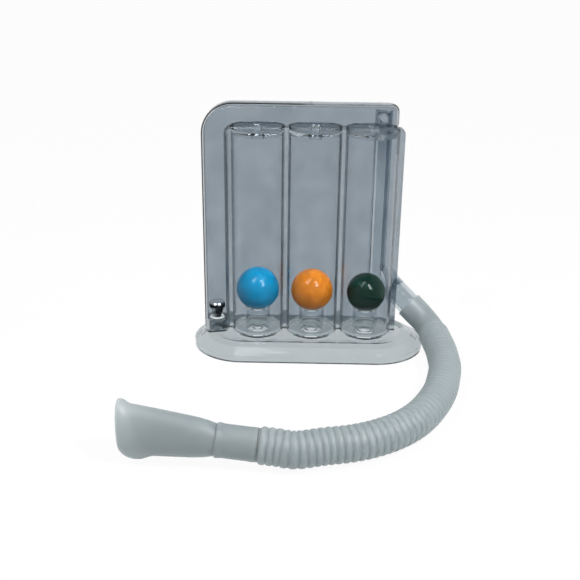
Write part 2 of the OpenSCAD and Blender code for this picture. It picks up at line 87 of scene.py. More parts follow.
def mathNode(tree, operation, *values):
    node = tree.nodes.new("ShaderNodeMath")
    node.operation = operation
    for i, value in enumerate(values):
        if isinstance(value, (int, float)):
            node.inputs[i].default_value = value
        else:
            tree.links.new(value, node.inputs[i])
    return node.outputs[0]


def newMaterial(name):
    mat = bpy.data.materials.new(name)
    mat.use_nodes = True
    return mat, mat.node_tree, mat.node_tree.nodes["Principled BSDF"]


mouldSettings = {"swellDetail": 2.0, "hazeDetail": 4.0, "hazeLow": 0.3, "hazeHigh": 0.7}


def makeMouldGroup(cfg):
    # slow swell and fine haze of moulded plastic, as a mask, a roughness and a bump height
    tree = bpy.data.node_groups.new("mouldedSurface", "ShaderNodeTree")
    for name, value in (("Swell Scale", 60.0), ("Haze Scale", 900.0), ("Low Roughness", 0.03),
                        ("High Roughness", 0.1), ("Swell Share", 0.8)):
        newSocket(tree, name, "NodeSocketFloat", "INPUT", value)
    for name in ("Mask", "Roughness", "Height"):
        newSocket(tree, name, "NodeSocketFloat", "OUTPUT")
    n, link = tree.nodes.new, tree.links.new
    ins, outs = n("NodeGroupInput"), n("NodeGroupOutput")
    coords = n("ShaderNodeTexCoord")
    swell, haze = n("ShaderNodeTexNoise"), n("ShaderNodeTexNoise")
    swell.inputs["Detail"].default_value = cfg["swellDetail"]
    haze.inputs["Detail"].default_value = cfg["hazeDetail"]
    for noise, scale in ((swell, "Swell Scale"), (haze, "Haze Scale")):
        link(coords.outputs["Object"], noise.inputs["Vector"])
        link(ins.outputs[scale], noise.inputs["Scale"])
    rough = n("ShaderNodeMapRange")
    link(haze.outputs["Fac"], rough.inputs["Value"])
    rough.inputs["From Min"].default_value = cfg["hazeLow"]
    rough.inputs["From Max"].default_value = cfg["hazeHigh"]
    link(ins.outputs["Low Roughness"], rough.inputs["To Min"])
    link(ins.outputs["High Roughness"], rough.inputs["To Max"])
    height = n("ShaderNodeMix")
    link(ins.outputs["Swell Share"], height.inputs[0])
    link(haze.outputs["Fac"], height.inputs[2])
    link(swell.outputs["Fac"], height.inputs[3])
    link(swell.outputs["Fac"], outs.inputs["Mask"])
    link(rough.outputs["Result"], outs.inputs["Roughness"])
    link(height.outputs[0], outs.inputs["Height"])
    return tree


mouldGroup = makeMouldGroup(mouldSettings)
bumpDepth = 0.0004


def mouldedMaterial(name, low, high, rough, bump=0.05, **plain):
    # two near tones mixed by the swell; plain holds the constants of the shader
    mat, tree, shader = newMaterial(name)
    n, link = tree.nodes.new, tree.links.new
    effect = n("ShaderNodeGroup")
    effect.node_tree = mouldGroup
    effect.inputs["Low Roughness"].default_value = rough[0]
    effect.inputs["High Roughness"].default_value = rough[1]
    tone = n("ShaderNodeMix")
    tone.data_type = "RGBA"
    tone.inputs[6].default_value = (*low, 1)
    tone.inputs[7].default_value = (*high, 1)
    link(effect.outputs["Mask"], tone.inputs[0])
    link(tone.outputs[2], shader.inputs["Base Color"])
    link(effect.outputs["Roughness"], shader.inputs["Roughness"])
    bumpNode = n("ShaderNodeBump")
    bumpNode.inputs["Strength"].default_value = bump
    bumpNode.inputs["Distance"].default_value = bumpDepth
    link(effect.outputs["Height"], bumpNode.inputs["Height"])
    link(bumpNode.outputs["Normal"], shader.inputs["Normal"])
    for key, value in plain.items():
        shader.inputs[key.replace("_", " ")].default_value = value
    return mat


def makePaintedReflectionGroup():
    # painted reflections: a bright top, dark rims and a bright left flank, where turned metal would mirror light
    # and dark surroundings, as a mask
    tree = bpy.data.node_groups.new("paintedReflectionBands", "ShaderNodeTree")
    for name, value in (("Low Height", 0.0165), ("High Height", 0.0261),
                        ("Left X", -0.0598), ("Right X", -0.0497)):
        newSocket(tree, name, "NodeSocketFloat", "INPUT", value)
    newSocket(tree, "Mask", "NodeSocketFloat", "OUTPUT")
    n, link = tree.nodes.new, tree.links.new
    ins, outs = n("NodeGroupInput"), n("NodeGroupOutput")
    coords, parts = n("ShaderNodeTexCoord"), n("ShaderNodeSeparateXYZ")
    link(coords.outputs["Object"], parts.inputs[0])
    levels = []
    for part, low, high, stops in (
            ("Z", "Low Height", "High Height", ((0.0, 0.0), (0.9, 0.0), (0.93, 1.0))),
            ("Z", "Low Height", "High Height", ((0.0, 0.6), (0.6, 1.0), (0.66, 0.0))),
            ("X", "Left X", "Right X", ((0.0, 0.0), (0.16, 0.1), (0.24, 0.9), (0.38, 0.7), (0.46, 0.0)))):
        share, ramp = n("ShaderNodeMapRange"), n("ShaderNodeValToRGB")
        link(parts.outputs[part], share.inputs["Value"])
        link(ins.outputs[low], share.inputs["From Min"])
        link(ins.outputs[high], share.inputs["From Max"])
        while len(ramp.color_ramp.elements) < len(stops):
            ramp.color_ramp.elements.new(1.0)
        for stop, (place, level) in zip(ramp.color_ramp.elements, stops):
            stop.position = place
            stop.color = (level, level, level, 1)
        link(share.outputs["Result"], ramp.inputs["Fac"])
        levels.append(ramp.outputs["Color"])
    flank = mathNode(tree, "MULTIPLY", levels[1], levels[2])
    link(mathNode(tree, "MAXIMUM", levels[0], flank), outs.inputs["Mask"])
    return tree


def makeRegionGroup():
    # masks of painted light and shade: painted shade low at the left, painted light on the riser, painted shade
    # on the outer walls that run front to back, and painted light below the tubes' floors
    tree = bpy.data.node_groups.new("paintedLightShadeMasks", "ShaderNodeTree")
    for name, value in (("Top Height", 0.0162), ("Right X", -0.0478), ("Back Y", 0.0152),
                        ("Rim Height", 0.141), ("Rim Left", -0.0585), ("Rim Right", 0.0455),
                        ("Rim Low", 0.118), ("Rim Facing", 0.6), ("Fade Low", 0.09), ("Fade High", 0.126),
                        ("Base Height", 0.0119)):
        newSocket(tree, name, "NodeSocketFloat", "INPUT", value)
    for name in ("Corner", "Painted Riser Light", "Rim", "Base"):
        newSocket(tree, name, "NodeSocketFloat", "OUTPUT")
    n, link = tree.nodes.new, tree.links.new
    ins, outs = n("NodeGroupInput"), n("NodeGroupOutput")
    coords, parts, facing = n("ShaderNodeTexCoord"), n("ShaderNodeSeparateXYZ"), n("ShaderNodeSeparateXYZ")
    link(coords.outputs["Object"], parts.inputs[0])
    link(coords.outputs["Normal"], facing.inputs[0])

    def below(part, limit):
        return mathNode(tree, "LESS_THAN", parts.outputs[part], ins.outputs[limit])

    def above(part, limit):
        return mathNode(tree, "GREATER_THAN", parts.outputs[part], ins.outputs[limit])

    # painted shade: the front shell is darker low in the left column, under the valve
    link(mathNode(tree, "MULTIPLY", below("Z", "Top Height"), below("X", "Right X")), outs.inputs["Corner"])
    # painted light: the rear shell's riser is paler, fading in downwards, so it shows less dark through the body
    fade = n("ShaderNodeMapRange")
    link(parts.outputs["Z"], fade.inputs["Value"])
    link(ins.outputs["Fade High"], fade.inputs["From Min"])
    link(ins.outputs["Fade Low"], fade.inputs["From Max"])
    link(mathNode(tree, "MULTIPLY", above("Y", "Back Y"), fade.outputs["Result"]), outs.inputs["Painted Riser Light"])
    # painted light: the shells are paler below the tubes' floors
    link(below("Z", "Base Height"), outs.inputs["Base"])
    # a wall that runs front to back faces to the side or up; on the body's outer walls this gives a painted dark
    # edge, painted shade along the outline
    side = mathNode(tree, "LESS_THAN", mathNode(tree, "ABSOLUTE", facing.outputs["Y"]), ins.outputs["Rim Facing"])
    right = mathNode(tree, "MULTIPLY", above("X", "Rim Right"), above("Z", "Rim Low"))
    leftOrTop = mathNode(tree, "MAXIMUM", above("Z", "Rim Height"), below("X", "Rim Left"))
    outer = mathNode(tree, "MAXIMUM", leftOrTop, right)
    link(mathNode(tree, "MULTIPLY", outer, side), outs.inputs["Rim"])
    return tree


regionGroup = makeRegionGroup()


def paintRegionLightShade(mat, mask, tone):
    # a region of a clear piece gets a tone of its own: painted light where it is paler, painted shade where it is
    # darker
    tree = mat.node_tree
    region, mix = tree.nodes.new("ShaderNodeGroup"), tree.nodes.new("ShaderNodeMix")
    region.node_tree = regionGroup
    shader = tree.nodes["Principled BSDF"]
    mix.data_type = "RGBA"
    tree.links.new(region.outputs[mask], mix.inputs[0])
    tree.links.new(shader.inputs["Base Color"].links[0].from_socket, mix.inputs[6])
    mix.inputs[7].default_value = (*tone, 1)
    tree.links.new(mix.outputs[2], shader.inputs["Base Color"])


def metalWithPaintedReflections(name, low, high, rough):
    # the moulded material with its dark and bright tones parted by the painted reflection bands instead of the
    # swell
    mat = mouldedMaterial(name, low, high, rough=rough, bump=0.0, Metallic=1.0)
    tree = mat.node_tree
    paintedReflections = tree.nodes.new("ShaderNodeGroup")
    paintedReflections.node_tree = makePaintedReflectionGroup()
    tone = next(node for node in tree.nodes if node.bl_idname == "ShaderNodeMix")
    tree.links.new(paintedReflections.outputs["Mask"], tone.inputs[0])
    return mat


glass = {"Transmission_Weight": 1.0}
ballGloss = {"rough": (0.06, 0.07), "bump": 0.0, "IOR": 1.43}
finishes = {
    # painted light and shade: the front shell is a paler copy and the rear shell a darker copy of the one grey
    # plastic, so the balls show bright through the front and the body still reads grey
    "clearFront": mouldedMaterial("clearFrontPlastic", (0.61, 0.64, 0.66), (0.64, 0.665, 0.68), (0.0, 0.01),
                                  bump=0.04, IOR=1.29, Specular_Tint=(0.15, 0.15, 0.15, 1), **glass),
    "clearRear": mouldedMaterial("clearRearPlastic", (0.33, 0.385, 0.43), (0.53, 0.58, 0.635), (0.0, 0.03),
                                 bump=0.12, IOR=1.29, Specular_Tint=(0.5, 0.5, 0.5, 1), **glass),
    "footGrey": mouldedMaterial("footGreyPlastic", (0.46, 0.505, 0.525), (0.5, 0.545, 0.56), (0.0, 0.03),
                                bump=0.12, IOR=1.18, **glass),
    "portClear": mouldedMaterial("portClearPlastic", (0.53, 0.585, 0.61), (0.57, 0.625, 0.65), (0.02, 0.06),
                                 bump=0.12, IOR=1.14, **glass),
    "thinClear": mouldedMaterial("thinClearPlastic", (0.86, 0.89, 0.9), (0.9, 0.92, 0.93), (0.0, 0.04),
                                 bump=0.12, IOR=1.3, **glass),
    "cupGrey": mouldedMaterial("cupGreyPlastic", (0.6, 0.64, 0.66), (0.64, 0.68, 0.7), (0.0, 0.03),
                               bump=0.08, IOR=1.45, **glass),
    "milky": mouldedMaterial("milkyPlastic", (0.22, 0.261, 0.273), (0.266, 0.308, 0.321), (0.4, 0.48),
                             bump=0.04, IOR=1.33, Subsurface_Weight=1.0, Subsurface_Scale=0.012,
                             Subsurface_Radius=(1.0, 1.0, 1.0)),
    "blue": mouldedMaterial("blueGloss", (0.0, 0.16, 0.315), (0.001, 0.183, 0.352), **ballGloss),
    "orange": mouldedMaterial("orangeGloss", (0.45, 0.131, 0.008), (0.5, 0.153, 0.011), **ballGloss),
    "green": mouldedMaterial("greenGloss", (0.0, 0.012, 0.006), (0.0, 0.018, 0.01), **ballGloss),
    "white": mouldedMaterial("whiteMoulded", (0.74, 0.75, 0.74), (0.82, 0.82, 0.81), (0.2, 0.35)),
    # the poppet's metal carries painted reflections: dark rims, a bright top and a bright left flank
    "paintedReflectionFinish": metalWithPaintedReflections("paintedReflectionMetal", (0.03, 0.035, 0.04), (0.75, 0.76, 0.77), (0.08, 0.16)),
}
# painted shade on the front shell's low left corner and outer rim, painted light on the riser and below the
# tubes' floors; a later tone covers an earlier one
for finish, mask, tone in (("clearFront", "Base", (0.9, 0.92, 0.93)), ("clearRear", "Base", (0.9, 0.92, 0.93)),
                           ("clearFront", "Corner", (0.4, 0.44, 0.46)), ("clearFront", "Rim", (0.4, 0.44, 0.465)),
                           ("clearRear", "Painted Riser Light", (0.86, 0.89, 0.91))):
    paintRegionLightShade(finishes[finish], mask, tone)
print("finishes made:", len(finishes))

nodeFinish = {
    "front_shell": "clearFront", "rear_shell": "clearRear", "base_foot": "footGrey", "hose_port": "portClear",
    "blue_ball_seat": "thinClear", "orange_ball_seat": "thinClear", "green_ball_seat": "thinClear",
    "blue_top_stop": "thinClear", "orange_top_stop": "thinClear", "green_top_stop": "thinClear",
    "valve_cup": "cupGrey", "valve_seat_ring": "white", "valve_poppet": "paintedReflectionFinish",
    "blue_ball": "blue", "orange_ball": "orange", "green_ball": "green",
    "port_cuff": "milky", "mouth_cuff": "milky", "mouthpiece": "milky", "ribbed_hose": "milky",
}
for nodeName, finish in nodeFinish.items():
    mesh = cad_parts[nodeName].data
    mesh.materials.clear()
    mesh.materials.append(finishes[finish])
# lamp light passes the clear walls and reaches the balls
for nodeName in ("front_shell", "rear_shell"):
    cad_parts[nodeName].visible_shadow = False

# hose: it lies in one long curve from the port cuff to the mouth cuff
hoseSettings = {
    "outerRadius": 0.0089,
    "ribDepth": 0.0007,
    "ribs": 53,
    "endRadius": 0.0079,
    "plainEnd": 0.0009,
    "boreRadius": 0.00635,
    "sides": 36,
    "stepsPerRib": 8,
    "groovePower": 1.4,
    "endReach": 0.012,
}
routeStep = 0.009
hoseStart = Vector((0.0733907, -0.00951638, 0.0117004))
hoseStartWay = Vector((0.106279, -0.991441, -0.0758229)).normalized()
hoseEnd = Vector((-0.024, -0.1353, 0.0106))
mouthWay = Vector((-0.99452, 0.0521206, 0.0906326)).normalized()
hoseRoute = [
    hoseStart, hoseStart + routeStep * hoseStartWay, hoseStart + 2 * routeStep * hoseStartWay,
    Vector((0.0755, -0.037, 0.0097)), Vector((0.075, -0.049, 0.0092)), Vector((0.0725, -0.062, 0.0091)),
    Vector((0.0685, -0.077, 0.0091)), Vector((0.0625, -0.091, 0.0091)), Vector((0.055, -0.104, 0.0091)),
    Vector((0.0455, -0.115, 0.0091)), Vector((0.034, -0.1235, 0.0091)), Vector((0.021, -0.1295, 0.0091)),
    Vector((0.007, -0.133, 0.0091)),
    hoseEnd - 2 * routeStep * mouthWay, hoseEnd - routeStep * mouthWay, hoseEnd,
]


def smoothLine(points, steps=10):
    # a curve through the points, the same one that the solids follow
    line = []
    last = len(points) - 1
    for i in range(last):
        a, b, c, d = points[max(i - 1, 0)], points[i], points[i + 1], points[min(i + 2, last)]
        for k in range(steps):
            t = k / steps
            line.append(0.5 * (2 * b + (c - a) * t + (2 * a - 5 * b + 4 * c - d) * t * t
                               + (3 * b - a - 3 * c + d) * t ** 3))
    return line + [points[last]]


hoseLine = smoothLine(hoseRoute)


def makeHoseTree():
    # a round wall swept along the route: rounded ribs outside, a plain bore inside
    tree = bpy.data.node_groups.new("ribbedHoseWall", "GeometryNodeTree")
    newSocket(tree, "Geometry", "NodeSocketGeometry", "INPUT")
    for name, kind, value in (("Outer Radius", "Float", 0.009), ("Rib Depth", "Float", 0.0012),
                              ("Ribs", "Int", 50), ("End Radius", "Float", 0.0078),
                              ("Plain End", "Float", 0.003), ("Bore Radius", "Float", 0.006),
                              ("Groove Power", "Float", 1.4), ("Sides", "Int", 32), ("Points", "Int", 400)):
        newSocket(tree, name, "NodeSocket" + kind, "INPUT", value)
    newSocket(tree, "Material", "NodeSocketMaterial", "INPUT")
    newSocket(tree, "Geometry", "NodeSocketGeometry", "OUTPUT")
    n, link = tree.nodes.new, tree.links.new
    ins, outs = n("NodeGroupInput"), n("NodeGroupOutput")
    even = n("GeometryNodeResampleCurve")
    link(ins.outputs["Geometry"], even.inputs["Curve"])
    link(ins.outputs["Points"], even.inputs["Count"])
    along, whole = n("GeometryNodeSplineParameter"), n("GeometryNodeSplineLength")
    plain = mathNode(tree, "MULTIPLY", ins.outputs["Plain End"], 2.0)
    ribbed = mathNode(tree, "SUBTRACT", whole.outputs["Length"], plain)
    place = mathNode(tree, "SUBTRACT", along.outputs["Length"], ins.outputs["Plain End"])
    share = mathNode(tree, "DIVIDE", place, ribbed)
    turn = mathNode(tree, "MULTIPLY", mathNode(tree, "MULTIPLY", share, ins.outputs["Ribs"]), math.pi)
    crest = mathNode(tree, "ABSOLUTE", mathNode(tree, "SINE", turn))
    groove = mathNode(tree, "POWER", mathNode(tree, "SUBTRACT", 1.0, crest), ins.outputs["Groove Power"])
    ribs = mathNode(tree, "SUBTRACT", ins.outputs["Outer Radius"],
                    mathNode(tree, "MULTIPLY", groove, ins.outputs["Rib Depth"]))
    inside = mathNode(tree, "MULTIPLY", mathNode(tree, "GREATER_THAN", share, 0.0),
                      mathNode(tree, "LESS_THAN", share, 1.0))
    wall = n("ShaderNodeMix")
    link(inside, wall.inputs[0])
    link(ins.outputs["End Radius"], wall.inputs[2])
    link(ribs, wall.inputs[3])
    skins = []
    for radius in (wall.outputs[0], ins.outputs["Bore Radius"]):
        ring, sweep = n("GeometryNodeCurvePrimitiveCircle"), n("GeometryNodeCurveToMesh")
        link(radius, sweep.inputs["Scale"])
        link(ins.outputs["Sides"], ring.inputs["Resolution"])
        ring.inputs["Radius"].default_value = 1.0
        link(even.outputs["Curve"], sweep.inputs["Curve"])
        link(ring.outputs["Curve"], sweep.inputs["Profile Curve"])
        skins.append(sweep.outputs["Mesh"])
    flip, both = n("GeometryNodeFlipFaces"), n("GeometryNodeJoinGeometry")
    real, finish = n("GeometryNodeRealizeInstances"), n("GeometryNodeSetMaterial")
    link(skins[1], flip.inputs["Mesh"])
    link(skins[0], both.inputs["Geometry"])
    link(flip.outputs["Mesh"], both.inputs["Geometry"])
    link(both.outputs["Geometry"], real.inputs["Geometry"])
    link(real.outputs["Geometry"], finish.inputs["Geometry"])
    link(ins.outputs["Material"], finish.inputs["Material"])
    link(finish.outputs["Geometry"], outs.inputs["Geometry"])
    return tree


def setInput(modifier, tree, name, value):
    for item in tree.interface.items_tree:
        if item.item_type == "SOCKET" and item.in_out == "INPUT" and item.name == name:
            modifier[item.identifier] = value


def newPiece(name, mesh, finish, slot, body, *nodes):
    # a finished mesh becomes a piece of the object
    piece = bpy.data.objects.new(name, mesh)
    scene.collection.objects.link(piece)
    mesh.materials.clear()
    mesh.materials.append(finishes[finish])
    mesh.shade_smooth()
    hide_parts(*nodes)
    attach(piece, body)
    return piece


def closedMesh(bm, name):
    bmesh.ops.recalc_face_normals(bm, faces=bm.faces)
    mesh = bpy.data.meshes.new(name)
    bm.to_mesh(mesh)
    bm.free()
    return mesh


def makeHose(cfg):
    line = bpy.data.curves.new("hoseLine", "CURVE")
    line.dimensions = "3D"
    spline = line.splines.new("POLY")
    spline.points.add(len(hoseLine) - 1)
    for point, place in zip(spline.points, hoseLine):
        point.co = (*place, 1)
    guide = bpy.data.objects.new("hoseGuide", line)
    scene.collection.objects.link(guide)
    modifier = guide.modifiers.new("wall", "NODES")
    tree = makeHoseTree()
    modifier.node_group = tree
    for name, key in (("Outer Radius", "outerRadius"), ("Rib Depth", "ribDepth"), ("Ribs", "ribs"),
                      ("End Radius", "endRadius"), ("Plain End", "plainEnd"), ("Bore Radius", "boreRadius"),
                      ("Groove Power", "groovePower"), ("Sides", "sides")):
        setInput(modifier, tree, name, cfg[key])
    setInput(modifier, tree, "Points", cfg["ribs"] * cfg["stepsPerRib"] + 1)
    setInput(modifier, tree, "Material", finishes["milky"])
    graph = bpy.context.evaluated_depsgraph_get()
    mesh = bpy.data.meshes.new_from_object(guide.evaluated_get(graph))
    guide.modifiers.remove(modifier)
    bpy.data.objects.remove(guide)
    # the wall's two skins are joined by a ring of faces at each end
    bm = bmesh.new()
    bm.from_mesh(mesh)
    edges = [e for e in bm.edges if e.is_boundary]
    for end in (hoseStart, hoseEnd):
        near = [e for e in edges if (e.verts[0].co - end).length < cfg["endReach"]]
        bmesh.ops.bridge_loops(bm, edges=near)
    return newPiece("hose", closedMesh(bm, "hose"), "milky", "milky_plastic", "trainer", "ribbed_hose")


hose = makeHose(hoseSettings)


def ringMesh(name, rings):
    # closed rings of places, each joined to the next and the last one to the first
    bm = bmesh.new()
    rows = [[bm.verts.new(place) for place in ring] for ring in rings]
    for i, row in enumerate(rows):
        after = rows[(i + 1) % len(rows)]
        for k in range(len(row)):
            side = (k + 1) % len(row)
            bm.faces.new((row[k], row[side], after[side], after[k]))
    return closedMesh(bm, name)


def circleRing(centre, across, up, radius, sides):
    turns = [2 * math.pi * k / sides for k in range(sides)]
    return [centre + across * radius * math.cos(a) + up * radius * math.sin(a) for a in turns]


def sideFrame(way):
    across = way.cross(Vector((0, 0, 1))).normalized()
    return across, across.cross(way).normalized()


def clamp(t):
    return min(max(t, 0), 1)


def ease(t):
    return t * t * (3 - 2 * t)


cuffWall = {"rimTurn": 18, "step": 0.001, "clearOfRim": 1.5, "sides": 64}


def roundedWall(length, outer, inner, rim):
    # (distance, radius) along the outside with soft rims, and back along the bore
    turns = [math.radians(d) for d in range(90, -1, -cuffWall["rimTurn"])]
    arc = [(rim * (1 - math.sin(a)), rim * (1 - math.cos(a))) for a in turns]
    front = [(d, outer - c) for d, c in arc]
    back = [(length - d, outer - c) for d, c in reversed(arc)]
    steps = max(2, int(length / cuffWall["step"]))
    clear = rim * cuffWall["clearOfRim"]
    places = [length * k / steps for k in range(1, steps)]
    middle = [(place, outer) for place in places if clear < place < length - clear]
    return front + middle + back, [(length * (1 - k / steps), inner) for k in range(steps + 1)]


# cuff at the mouthpiece: a straight sleeve, a shallow bead where the hose enters and a collar at the other end
mouthCuffSettings = {
    "length": 0.0195,
    "outer": 0.0081,
    "bore": 0.00635,
    "rim": 0.0003,
    "bead": 0.00012,
    "beadPlace": 0.0022,
    "beadWidth": 0.0012,
    "collar": 0.0003,
    "collarPlace": 0.0182,
    "collarWidth": 0.0013,
}


def makeMouthCuff(cfg):
    across, up = sideFrame(mouthWay)
    outside, inside = roundedWall(cfg["length"], cfg["outer"] - cfg["bead"], cfg["bore"], cfg["rim"])
    swollen = []
    for s, r in outside:
        bead = cfg["bead"] * math.exp(-((s - cfg["beadPlace"]) / cfg["beadWidth"]) ** 2)
        collar = cfg["collar"] * math.exp(-((s - cfg["collarPlace"]) / cfg["collarWidth"]) ** 4)
        swollen.append((s, r + bead + collar))
    rings = [circleRing(hoseEnd + mouthWay * s, across, up, r, cuffWall["sides"]) for s, r in swollen + inside]
    return newPiece("mouthCuff", ringMesh("mouthCuff", rings), "milky", "milky_plastic", "trainer", "mouth_cuff")


# cuff on the port: a straight sleeve that bends down to the hose and gets slimmer there
portCuffSettings = {
    "turn": 30.0,
    "dip": 37.0,
    "sleeve": 0.009,
    "bendRadius": 0.016,
    "bend": 59.0,
    "outer": 0.0081,
    "bendOuter": 0.0079,
    "bore": 0.00635,
    "boreInBend": 0.00605,
    "rim": 0.0006,
    "slimBefore": 0.001,
    "slimRun": 0.004,
}


def makePortCuff(cfg):
    turn, dip, bend = (math.radians(cfg[k]) for k in ("turn", "dip", "bend"))
    radius, sleeve = cfg["bendRadius"], cfg["sleeve"]
    portWay = Vector((math.cos(turn) * math.cos(dip), -math.sin(turn) * math.cos(dip), -math.sin(dip)))
    bendSide = (hoseStartWay - portWay * math.cos(bend)) / math.sin(bend)
    bendStart = hoseStart - radius * (math.sin(bend) * portWay + (1 - math.cos(bend)) * bendSide)
    across = portWay.cross(bendSide).normalized()

    def at(s):
        if s <= sleeve:
            return bendStart + (s - sleeve) * portWay, portWay
        a = (s - sleeve) / radius
        return (bendStart + radius * (math.sin(a) * portWay + (1 - math.cos(a)) * bendSide),
                math.cos(a) * portWay + math.sin(a) * bendSide)

    outside, inside = roundedWall(sleeve + radius * bend, cfg["outer"], cfg["bore"], cfg["rim"])
    rings = []
    for wall, less in ((outside, cfg["outer"] - cfg["bendOuter"]), (inside, cfg["bore"] - cfg["boreInBend"])):
        for s, r in wall:
            centre, way = at(s)
            slim = ease(clamp((s - sleeve + cfg["slimBefore"]) / cfg["slimRun"]))
            up = across.cross(way).normalized()
            rings.append(circleRing(centre, across, up, r - slim * less, cuffWall["sides"]))
    return newPiece("portCuff", ringMesh("portCuff", rings), "milky", "milky_plastic", "trainer", "port_cuff")


# mouthpiece: a round neck that flattens into an upright oval with a rolled lip
mouthpieceSettings = {
    "length": 0.045,
    "neck": 0.0075,
    "gap": 0.00002,
    "height": 0.0127,
    "width": 0.008,
    "wall": 0.0012,
    "swell": 0.0014,
    "swellRun": 0.28,
    "sideSwell": 0.0002,
    "steps": 36,
    "stem": 0.014,
    "stemRadius": 0.0063,
    "stemBore": 0.0051,
    "stemTip": 0.0004,
    "stemTipRun": 0.0006,
    "shoulder": 0.0003,
    "shoulderRun": 0.00001,
    "edgeInset": 0.00005,
    "edgeRun": 0.00006,
    "neckPlaces": (0.004, 0.012),
    "lip": 0.0042,
    "lipSteps": 8,
    "lipWall": 1.25,
    "flare": 0.0022,
    "reachTop": 0.0042,
    "reachLow": 0.016,
    "sideFlare": 0.35,
    "cornerDepth": 0.0066,
    "cornerBend": 3.6,
    "cornerRun": 0.016,
    "roll": 0.0012,
    "rollTurn": 15,
    "rakeTop": 8.0,
    "rakeLow": 5.0,
    "sides": 72,
}


def mouthpieceSections(cfg, bell, edge):
    # (distance, half width, half height, lean) along the outside, over the lip and back along the bore
    gap, neck, wall, steps, roll = (cfg[k] for k in ("gap", "neck", "wall", "steps", "roll"))
    stem, stemRadius, stemBore = cfg["stem"], cfg["stemRadius"], cfg["stemBore"]

    def sizes(t):
        # half width and half height of the outside, t from the neck to the lip's root
        quick = neck + cfg["swell"] * (1 - (1 - min(t / cfg["swellRun"], 1)) ** 2) * (1 - t) ** 0.5
        wide = neck + (cfg["width"] - neck) * ease(t) + cfg["sideSwell"] * math.sin(math.pi * t)
        return wide, quick + (cfg["height"] - neck) * t

    sections = [(s, r, r, 0) for s, r in (
        (-stem, stemBore + cfg["stemTip"]),
        (-stem + cfg["stemTipRun"], stemRadius),
        (0.0, stemRadius),
        (gap, stemRadius + cfg["shoulder"]),
        (gap + cfg["shoulderRun"], neck - cfg["edgeInset"]))]
    for t in [0, *cfg["neckPlaces"]] + [k / steps for k in range(1, steps + 1)]:
        start = cfg["edgeRun"] if t == 0 else 0
        sections.append((gap + start + t * bell, *sizes(t), t * t))
    # the lip rolls over a round edge and comes back to the bore
    wide, high = sizes(1)
    thick = wall * cfg["lipWall"]
    parts = cfg["lipSteps"]
    lip = [gap + bell + (edge - gap - bell) * k / parts for k in range(parts + 1)]
    sections += [(s, wide, high, 1) for s in lip[1:]]
    for degrees in range(cfg["rollTurn"], 181, cfg["rollTurn"]):
        a = math.radians(degrees)
        inset = thick * (1 - math.cos(a)) / 2
        sections.append((edge + roll * math.sin(a), wide - inset, high - inset, 1))
    for k in range(parts - 1, -1, -1):
        thin = wall + (thick - wall) * k / parts
        sections.append((lip[k], wide - thin, high - thin, 1))
    for k in range(steps, -1, -2):
        t = k / steps
        wide, high = sizes(t)
        thick = wall + (neck - stemBore - wall) * (1 - t) ** 3
        sections.append((gap + t * bell, wide - thick, high - thick, t * t))
    return sections + [(-stem, stemBore, stemBore, 0)]


def makeMouthpiece(cfg):
    root = hoseEnd + mouthWay * mouthCuffSettings["length"]
    across, up = sideFrame(mouthWay)
    edge = cfg["gap"] + cfg["length"] - cfg["roll"]
    rings = []
    for s, wide, high, lean in mouthpieceSections(cfg, cfg["length"] - cfg["lip"], edge):
        ring = []
        for k in range(cfg["sides"]):
            # the lip swells outwards, sooner along the underside than on top
            a = 2 * math.pi * k / cfg["sides"]
            low = (1 - math.sin(a)) / 2
            reach = cfg["reachTop"] + (cfg["reachLow"] - cfg["reachTop"]) * low
            flare = cfg["flare"] * ease(clamp((s - edge + reach) / reach))
            rise = (high + flare) * math.sin(a)
            rake = math.tan(math.radians(cfg["rakeTop"] if rise > 0 else cfg["rakeLow"]))
            # the lowest corner of the end is rounded off
            deep = max(-math.sin(a), 0) ** cfg["cornerBend"]
            back = cfg["cornerDepth"] * deep * clamp((s - edge + cfg["cornerRun"]) / cfg["cornerRun"])
            ring.append(root + mouthWay * (s + rise * rake * lean - back)
                        + across * (wide + flare * cfg["sideFlare"]) * math.cos(a) + up * rise)
        rings.append(ring)
    return newPiece("mouthEnd", ringMesh("mouthEnd", rings), "milky", "milky_plastic", "mouth_end", "mouthpiece")


portCuff = makePortCuff(portCuffSettings)
mouthCuff = makeMouthCuff(mouthCuffSettings)
mouthEnd = makeMouthpiece(mouthpieceSettings)
print("cuffs and mouthpiece made")

# balls: hollow moulded halves with a fine joint line
ballSettings = {
    "blue_ball": {"body": "left_ball", "finish": "blue", "slot": "blue_plastic", "tilt": (25, 10)},
    "orange_ball": {"body": "middle_ball", "finish": "orange", "slot": "orange_plastic", "tilt": (-15, 20)},
    "green_ball": {"body": "right_ball", "finish": "green", "slot": "green_plastic", "tilt": (10, -30)},
}
jointLine = {"rise": 0.00004, "width": 0.00022, "crowd": 0.35, "pole": 1e-6, "rings": 72, "segments": 96}


def makeBall(node, cfg, seam):
    low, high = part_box(node)
    centre, radius = (low + high) / 2, (high - low).z / 2
    tiltX, tiltY = (math.radians(d) for d in cfg["tilt"])
    tilt = Matrix.Rotation(tiltX, 4, "X") @ Matrix.Rotation(tiltY, 4, "Y")
    bm = bmesh.new()
    bmesh.ops.create_uvsphere(bm, u_segments=seam["segments"], v_segments=seam["rings"], radius=1)
    for vert in bm.verts:
        # rings crowd towards the joint line, so that its fine ridge is round
        z = vert.co.z * abs(vert.co.z) ** seam["crowd"]
        flat = vert.co.to_2d().length
        keep = math.sqrt(max(0.0, 1 - z * z))
        if flat > seam["pole"]:
            vert.co.x *= keep / flat
            vert.co.y *= keep / flat
        vert.co.z = z
        rise = seam["rise"] * math.exp(-((z * radius) / seam["width"]) ** 2)
        vert.co = centre + tilt @ (vert.co.normalized() * (radius - seam["rise"] + rise))
    return newPiece(cfg["finish"] + "Ball", closedMesh(bm, cfg["finish"] + "Ball"), cfg["finish"], cfg["slot"],
                    cfg["body"], node)


